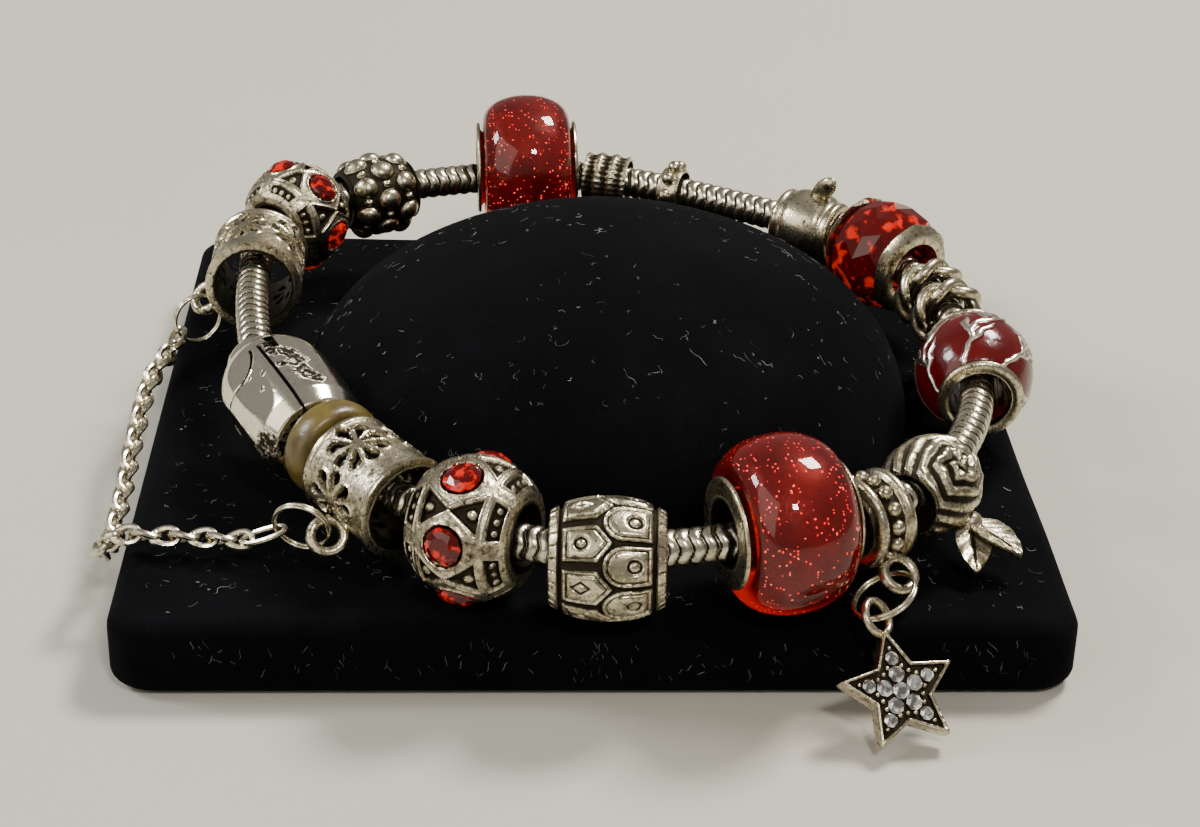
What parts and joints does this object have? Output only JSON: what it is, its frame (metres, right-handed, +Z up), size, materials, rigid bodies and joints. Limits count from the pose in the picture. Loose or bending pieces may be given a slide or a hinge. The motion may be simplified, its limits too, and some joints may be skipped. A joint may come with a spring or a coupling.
{
  "type": "charm bracelet on a display stand",
  "caption": "Closed snake-chain charm bracelet with silver, glass, enamel and crystal beads, a safety chain and a star drop, lying round a domed black velvet stand.",
  "frame": {"origin": "centre of the stand's underside, on the surface it stands on", "axes": "+Z up; -Y towards the viewer, where the star hangs over the stand's front edge; +X to the viewer's right, along the stand's front edge"},
  "size_m": [0.0804, 0.0856, 0.0241],
  "materials": {
    "velvet": "black velvet with a short nap",
    "chain_silver": "bright silver links",
    "bright_silver": "polished silver",
    "old_silver": "worn silver with dark hollows",
    "amber_rubber": "translucent amber",
    "red_stone": "faceted red stone",
    "red_glass": "clear red glass with fine glitter",
    "red_enamel": "glossy translucent red enamel",
    "red_crystal": "faceted red crystal"
  },
  "bodies": {
    "base": {"bail_spacer": "old_silver", "ball_back": "old_silver", "ball_back_stone_1": "red_stone", "ball_back_stone_2": "red_stone", "ball_back_stone_3": "red_stone", "ball_back_stone_4": "red_stone", "ball_back_stone_5": "red_stone", "ball_back_stone_6": "red_stone", "ball_front": "old_silver", "ball_front_stone_1": "red_stone", "ball_front_stone_2": "red_stone", "ball_front_stone_3": "red_stone", "ball_front_stone_4": "red_stone", "ball_front_stone_5": "red_stone", "ball_front_stone_6": "red_stone", "barrel_bead": "old_silver", "beaded_ring": "old_silver", "chain_knob": "chain_silver", "clasp_body": "bright_silver", "core_back": "old_silver", "core_front": "old_silver", "crystal_bead": "red_crystal", "crystal_cap_1": "old_silver", "crystal_cap_2": "old_silver", "enamel_bead": "red_enamel", "enamel_rim_1": "old_silver", "enamel_rim_2": "old_silver", "glass_back": "red_glass", "glass_front": "red_glass", "holder_back": "old_silver", "holder_front": "old_silver", "jump_ring_back": "old_silver", "jump_ring_front": "old_silver", "knot_spacer_1": "old_silver", "knot_spacer_2": "old_silver", "ribbed_sleeve": "old_silver", "rosebud_bead": "old_silver", "safety_chain": "chain_silver", "snake_chain": "chain_silver", "stand_base": "velvet", "stand_mound": "velvet", "star_charm": "old_silver", "star_ring": "old_silver", "stopper_ring": "amber_rubber", "textured_bead": "old_silver", "urn_bead": "old_silver"},
    "jaw": {"clasp_jaw": "bright_silver"}
  },
  "joints": [
    {"name": "clasp_hinge", "type": "hinge", "parent": "base", "child": "jaw", "pos_m": [-0.02942, -0.0131, 0.01304], "axis": [0.2698, 0.2246, -0.9364], "range_deg": [0, 45]}
  ]
}
